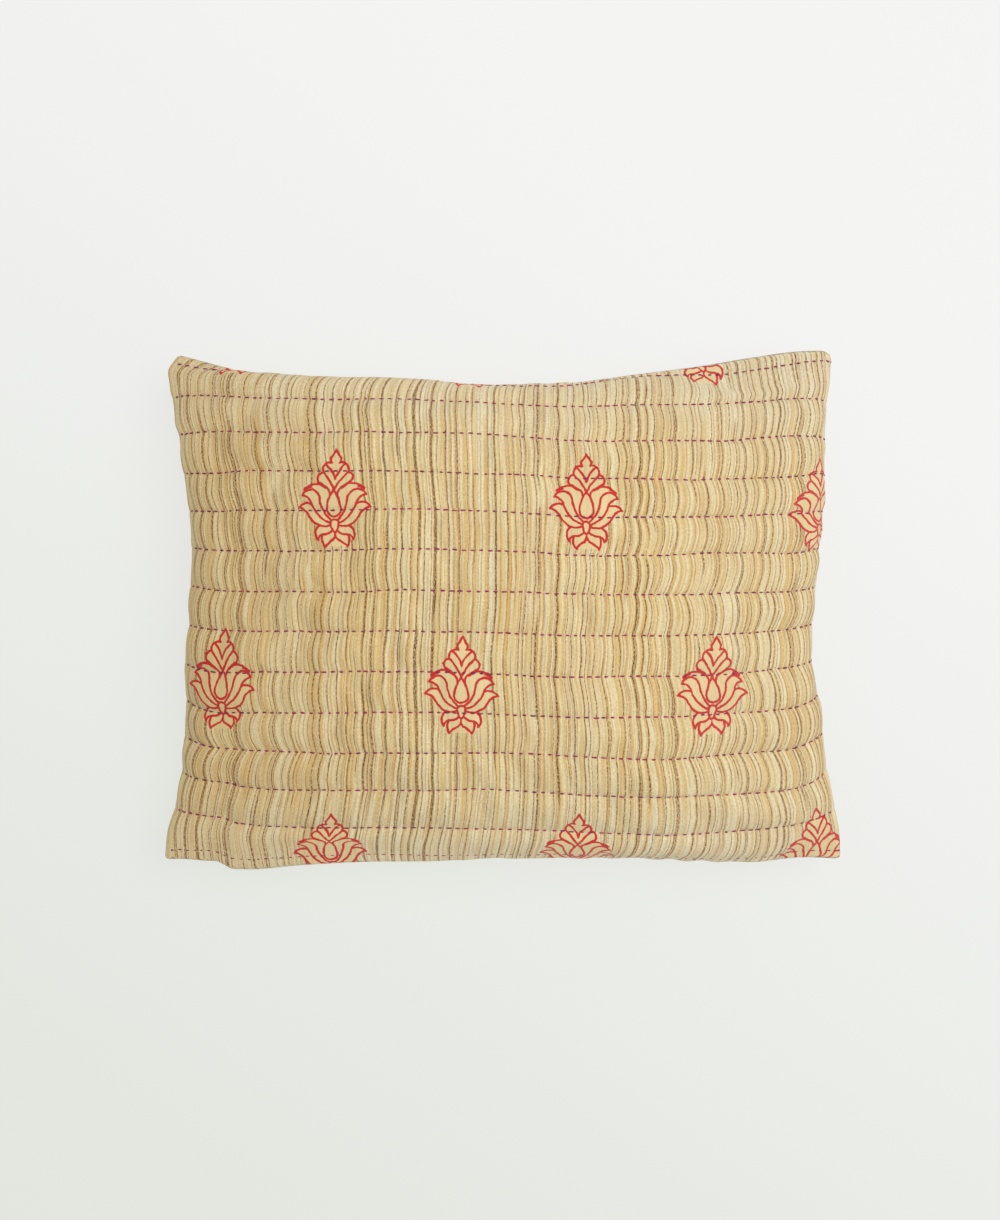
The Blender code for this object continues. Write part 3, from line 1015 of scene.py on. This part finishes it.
def striped_cotton():
    """Beige cotton with ochre, cream, brown and near-black warp lines and a red block print."""
    material, tree, shader = new_material("striped_cotton")
    place, across, down = map_parts(tree, "cloth")
    drift = stretched_noise(tree, place, (0.05, 0.025), 1.0)
    shiver = stretched_noise(tree, place, (0.5, 0.10))
    warp = math_node(tree, "MULTIPLY_ADD", drift, 2.6, across)
    warp = math_node(tree, "MULTIPLY_ADD", shiver, 0.35, warp)
    warp_place = flat_place(tree, warp, down)
    threads = dyed_thread_group()

    def lined(base, lines, dots=1.0):
        """The base with one kind of warp line dyed into it."""
        sizes, strength, dye = lines
        inputs = dict(zip(THREAD_SOCKETS, (warp, down, *sizes)))
        mask = math_node(tree, "MULTIPLY", placed(tree, threads, inputs).outputs["Mask"], dots)
        return tinted(tree, base, mask, strength, dye)

    tone = step_between(tree, stretched_noise(tree, warp_place, (0.45, 0.010), 2.0), 0.36, 0.64)
    base = mixed(tree, tone, colour(233, 219, 177), colour(223, 200, 147))
    for lines in SOFT_LINES:
        base = lined(base, lines)

    # Paler and cooler beside the top and bottom seams: painted sheen where the flanks turn away
    spot = node(tree, "ShaderNodeTexCoord").outputs["Object"]
    spots = node(tree, "ShaderNodeSeparateXYZ", {0: spot}).outputs
    to_seam = math_node(tree, "ABSOLUTE", math_node(tree, "ADD", spots[1], 0.008))
    flank_painted_sheen = step_between(tree, to_seam, 0.080, 0.155)
    # painted sheen: a paler, cooler tint on the flanks near the top and bottom seams
    base = tinted(tree, base, flank_painted_sheen, 0.32, colour(228, 226, 210))
    base = lined(base, BESIDE_DARK)
    base = lined(base, BROWN_LINES)
    dots = step_between(tree, math_node(tree, "PINGPONG", down, 0.45), 0.10, 0.25)
    base = lined(base, DOTTED_LINES, dots)
    base = lined(base, DARK_LINES)

    # Single yarns of the warp and of the weft
    yarn = step_between(tree, stretched_noise(tree, warp_place, (1.9, 0.06), 1.0), 0.45, 0.75)
    base = tinted(tree, base, yarn, 0.30, colour(200, 166, 112))
    weft = step_between(tree, stretched_noise(tree, place, (0.7, 0.95), 1.0), 0.38, 0.72)
    base = tinted(tree, base, weft, 0.36, colour(196, 160, 104))

    # The worn red print, on a plainer ground
    _, print_across, print_down = map_parts(tree, "print")
    inputs = {"Across": print_across, "Down": print_down}
    flower = placed(tree, printed_flower_group(), inputs).outputs
    base = tinted(tree, base, flower["Ground"], 0.86, colour(227, 203, 152))
    worn = stretched_noise(tree, place, (1.7, 2.2), 2.0)
    ink = math_node(tree, "MULTIPLY", flower["Ink"], step_between(tree, worn, 0.08, 0.32))
    worn_share = step_between(tree, worn, 0.35, 0.7)
    ink_colour = mixed(tree, worn_share, colour(188, 8, 30), colour(208, 18, 34))
    base = tinted(tree, base, ink, 0.96, ink_colour)

    # A little mottled all over, with painted shade darkening it towards the left seam, and greyer
    # towards the right
    mottle = step_between(tree, stretched_noise(tree, place, (0.035, 0.03), 3.0), 0.35, 0.7)
    base = tinted(tree, base, mottle, 0.14, colour(222, 190, 140), "MULTIPLY")
    left_painted_shade = step_between(tree, spots[0], -0.06, -0.19)
    # painted shade: the left side of the cloth darker and warmer, as if in shade away from the
    # window
    base = tinted(tree, base, left_painted_shade, 0.68, colour(238, 227, 207), "MULTIPLY")
    greyer = step_between(tree, spots[0], 0.05, 0.17)
    base = tinted(tree, base, greyer, 0.06, colour(160, 172, 176))

    # The weave, with thicker weft yarns here and there
    warp_wave = math_node(tree, "MULTIPLY", across, 2 * math.pi / WARP_WAVE)
    weft_wave = math_node(tree, "MULTIPLY", down, 2 * math.pi / WEFT_WAVE)
    warp_wave, weft_wave = (math_node(tree, "SINE", wave) for wave in (warp_wave, weft_wave))
    weave = math_node(tree, "MULTIPLY", warp_wave, weft_wave)
    slub = stretched_noise(tree, place, (0.5, 2.4), 2.0)
    height = math_node(tree, "MULTIPLY_ADD", slub, 1.6, math_node(tree, "MULTIPLY", weave, 0.35))
    bump = node(tree, "ShaderNodeBump", {"Strength": 0.35, "Distance": 0.00025, "Height": height})
    surface = {
        "Base Color": base,
        "Roughness": math_node(tree, "MULTIPLY_ADD", weave, 0.03, 0.88),
        "Normal": bump.outputs[0],
        "Specular IOR Level": 0.25,
        "Sheen Weight": 0.2,
        "Sheen Roughness": 0.45,
    }
    fill_inputs(tree, shader, surface)
    return material


cover_mesh.materials.append(striped_cotton())
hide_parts("cushion")
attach(cover, "root")

# The running stitches
# A dark plum cotton thread, dyed unevenly, goes in and out of both layers of
# the quilt by hand along each row. Only its short runs on top show.

STITCH_LENGTH = 0.0029
STITCH_LENGTH_UNEVEN = 0.00040
SHORTEST_STITCH = 0.0019
LONGEST_STITCH = 0.0039
STITCH_TILT = 0.05
STITCH_ASIDE = 0.00012
THREAD_WIDTH = 0.00096
THREAD_HEIGHT = 0.00055
THREAD_THINNEST = 0.85
THREAD_THICKEST = 1.12
THREAD_SEED = 5000
STITCH_STATIONS = np.array((-1.0, -0.8, -0.3, 0.3, 0.8, 1.0))
STITCH_RISE = np.array((-0.9, 0.25, 0.75, 0.75, 0.25, -0.9))
STITCH_SWELL = np.array((0.55, 0.9, 1.0, 1.0, 0.9, 0.55))
LAST_ROW_SUNK = 0.75
THREAD_SIDES = 6

# The thread goes from dark at the left seam to paler one reach away, and its dye comes in waves
TONE_AT_LEFT_SEAM = 0.15
TONE_AWAY_FROM_SEAM = 0.75
TONE_REACH = 0.12
DYE_WAVE = 0.034
DYE_UNEVEN = 0.25
DYE_WAVE_SHARE = 0.4


def stitch_row(points, facing, row):
    """Points, by stitch, station and side, of the short tubes of thread along one row.

    Each tube follows the cloth, dips into it at both ends, and is an ellipse
    across, wider than high. Also each stitch's tone from 0 to 1: darker towards the left seam, and
    in waves of dye.
    """
    draw = np.random.default_rng(THREAD_SEED + 100 * facing + row)
    middles = stitch_middles(facing, row)
    count = len(middles)
    length = draw.normal(STITCH_LENGTH, STITCH_LENGTH_UNEVEN, count)
    length = np.clip(length, SHORTEST_STITCH, LONGEST_STITCH)
    places = middles[:, None] + 0.5 * length[:, None] * STITCH_STATIONS
    along = right_lines * CLOTH_LENGTH
    line = points[row_lines[row]]
    centre = smooth_curve(places, along, line)
    forward = np.gradient(line, axis=0)
    across = np.gradient(points, axis=0)[row_lines[row]]
    normal = np.cross(across, forward) * facing
    normal, forward = (smooth_curve(places, along, unit(way)) for way in (normal, forward))
    aside = unit(np.cross(normal, forward))
    tilt = draw.normal(0, STITCH_TILT, count)[:, None] * STITCH_STATIONS * 0.5 * length[:, None]
    shift = draw.normal(0, STITCH_ASIDE, count)[:, None] + tilt
    sunk = LAST_ROW_SUNK if row == ROW_COUNT - 1 else 0.0
    lift = THREAD_HEIGHT * (STITCH_RISE - sunk)
    centre = centre + shift[..., None] * aside + lift[None, :, None] * normal
    angle = np.linspace(0, 2 * np.pi, THREAD_SIDES, endpoint=False)[None, None, :, None]
    swell = draw.uniform(THREAD_THINNEST, THREAD_THICKEST, count)[:, None] * STITCH_SWELL
    wide = 0.5 * THREAD_WIDTH * np.cos(angle) * aside[:, :, None, :]
    high = 0.5 * THREAD_HEIGHT * np.sin(angle) * normal[:, :, None, :]
    wave = 0.5 + 0.5 * np.sin(middles / DYE_WAVE + draw.uniform(0, 6.28))
    wave = wave + draw.normal(0, DYE_UNEVEN, count)
    # darker towards the left seam, paler from one reach away
    dye = TONE_AT_LEFT_SEAM + (TONE_AWAY_FROM_SEAM - TONE_AT_LEFT_SEAM) * fade_in(middles, TONE_REACH)
    dye = (1 - DYE_WAVE_SHARE) * dye + DYE_WAVE_SHARE * wave
    return centre[:, :, None, :] + swell[..., None, None] * (wide + high), np.clip(dye, 0, 1)


def tube_faces(count, stations, sides):
    """Faces of many closed tubes, outwards: quads round each, and one face at each end."""
    index = np.arange(count * stations * sides).reshape(count, stations, sides)
    turned = np.roll(index, -1, axis=2)
    corners = (index[:, :-1], turned[:, :-1], turned[:, 1:], index[:, 1:])
    quads = np.stack([corner.ravel() for corner in corners], axis=-1)
    ends = np.concatenate([index[:, 0, ::-1], index[:, -1]])
    return quads.tolist() + ends.tolist()


def add_stitches(name, points, facing):
    """All the stitches of one panel as one mesh, with each one's dye on its vertices."""
    rows = [stitch_row(points, facing, row) for row in range(ROW_COUNT)]
    tubes = np.concatenate([row[0] for row in rows])
    dye = np.concatenate([row[1] for row in rows])
    count, stations, sides = tubes.shape[:3]
    mesh = bpy.data.meshes.new(name)
    mesh.from_pydata(tubes.reshape(-1, 3).tolist(), [], tube_faces(count, stations, sides))
    mesh.shade_smooth()
    shade = mesh.attributes.new("dye", "FLOAT", "POINT")
    shade.data.foreach_set("value", np.repeat(dye, stations * sides).astype(np.float32))
    return linked(name, mesh)


def plum_thread():
    """Unevenly dyed cotton thread, dark plum to magenta, with the twist of its plies."""
    material, tree, shader = new_material("plum_thread")
    dye = node(tree, "ShaderNodeAttribute", attribute_name="dye").outputs["Fac"]
    place = node(tree, "ShaderNodeTexCoord").outputs["Object"]
    grain = {"Vector": place, "Scale": 1400.0, "Detail": 2.0}
    fibres = step_between(tree, node(tree, "ShaderNodeTexNoise", grain).outputs["Fac"], 0.4, 0.7)
    base = mixed(tree, dye, colour(84, 20, 58), colour(164, 34, 92))
    base = tinted(tree, base, fibres, 0.25, colour(160, 66, 104))
    ply = node(
        tree,
        "ShaderNodeTexWave",
        {"Vector": place, "Scale": 420.0, "Distortion": 1.5, "Detail": 1.0},
        wave_type="BANDS",
        bands_direction="DIAGONAL",
    ).outputs["Fac"]
    bump = node(tree, "ShaderNodeBump", {"Strength": 0.5, "Distance": 0.0001, "Height": ply})
    surface = {
        "Base Color": base,
        "Normal": bump.outputs[0],
        "Roughness": 0.72,
        "Specular IOR Level": 0.3,
        "Sheen Weight": 0.1,
    }
    fill_inputs(tree, shader, surface)
    return material


thread = plum_thread()
for name, points, facing in (
    ("front_stitches", front_points, 1),
    ("back_stitches", back_points, -1),
):
    stitches = add_stitches(name, points, facing)
    stitches.data.materials.append(thread)
    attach(stitches, "root")

# The floor, the light and the camera
# A pale floor that glows with painted light, wide enough to be seen from low down, one soft
# light high up beside the pillow, a pale room, and the camera straight above.

FLOOR_HALF = 6.0
# The floor is dark and glows: the glow is painted light, brighter towards the window, and it keeps
# the pillow's shadow on the floor faint.
FLOOR_COLOUR = (0.13, 0.131, 0.13, 1.0)
FLOOR_SLOPE = (0.9, 1.6, 0.0)
FLOOR_SLOPE_ENDS = (-1.0, 0.6)
FLOOR_GLOW_NEAR = (0.760, 0.757, 0.750, 1.0)
FLOOR_GLOW_FAR = (0.632, 0.658, 0.602, 1.0)
FLOOR_GLOW_AT_WALLS = (0.655, 0.692, 0.645, 1.0)
NEAR_WALLS = (1.2, 4.5)


def pale_floor():
    """A flat square whose glow is painted light, brighter towards the window."""
    mesh = bpy.data.meshes.new("floor")
    corners = [(-1, -1), (1, -1), (1, 1), (-1, 1)]
    mesh.from_pydata([(x * FLOOR_HALF, y * FLOOR_HALF, 0) for x, y in corners], [], [(0, 1, 2, 3)])
    material, tree, shader = new_material("pale_floor")
    place = node(tree, "ShaderNodeTexCoord").outputs["Object"]
    towards_window = vector_node(tree, "DOT_PRODUCT", place, FLOOR_SLOPE)
    share = step_between(tree, towards_window, *FLOOR_SLOPE_ENDS)
    painted_glow = mixed(tree, share, FLOOR_GLOW_FAR, FLOOR_GLOW_NEAR)
    to_walls = step_between(tree, vector_node(tree, "LENGTH", place), *NEAR_WALLS)
    surface = {
        "Base Color": FLOOR_COLOUR,
        "Roughness": 0.9,
        "Specular IOR Level": 0.1,
        "Emission Color": mixed(tree, to_walls, painted_glow, FLOOR_GLOW_AT_WALLS),
        "Emission Strength": 1.0,
    }
    fill_inputs(tree, shader, surface)
    mesh.materials.append(material)
    return linked("floor", mesh)


pale_floor()

# A soft round window light, warm and high up on the right
WINDOW_PLACE = (0.95, 0.40, 2.03)
WINDOW_AIM = (0, 0, 0.04)
window_light = bpy.data.lights.new("window", "AREA")
window_light.shape = "DISK"
window_light.size = 2.0
window_light.energy = 29.5
window_light.color = (1.04, 1.0, 0.95)
window = linked("window", window_light)
window.location = WINDOW_PLACE
from_aim = Vector(WINDOW_PLACE) - Vector(WINDOW_AIM)
window.rotation_euler = from_aim.to_track_quat("Z", "Y").to_euler()

# Pale walls low down all round, as bright as the far floor, under a cooler ceiling
WALL_LIGHT = (0.735, 0.775, 0.720, 1.0)
CEILING_LIGHT = (0.600, 0.634, 0.661, 1.0)
WALL_TO_CEILING = (0.04, 0.42)
world = bpy.data.worlds.new("studio")
world.use_nodes = True
room = world.node_tree
direction = node(room, "ShaderNodeTexCoord").outputs["Generated"]
upward = node(room, "ShaderNodeSeparateXYZ", {0: direction}).outputs[2]
ceiling = step_between(room, upward, *WALL_TO_CEILING)
room_light = mixed(room, ceiling, WALL_LIGHT, CEILING_LIGHT)
fill_inputs(room, room.nodes["Background"], {"Color": room_light})
bpy.context.scene.world = world
bpy.context.scene.view_settings.view_transform = "Standard"

# The camera straight above, with the photo's view from top to bottom, in degrees
CAMERA_HEIGHT = 1.30
CAMERA_PLACE = (-0.0015, -0.0006)
VIEW_ANGLE = 32.0
SENSOR_HEIGHT = 24.0
camera_data = bpy.data.cameras.new("camera")
camera_data.sensor_fit = "VERTICAL"
camera_data.sensor_height = SENSOR_HEIGHT
camera_data.lens = 0.5 * SENSOR_HEIGHT / math.tan(math.radians(VIEW_ANGLE / 2))
camera = linked("camera", camera_data)
camera.location = (*CAMERA_PLACE, CAMERA_HEIGHT)
bpy.context.scene.camera = camera
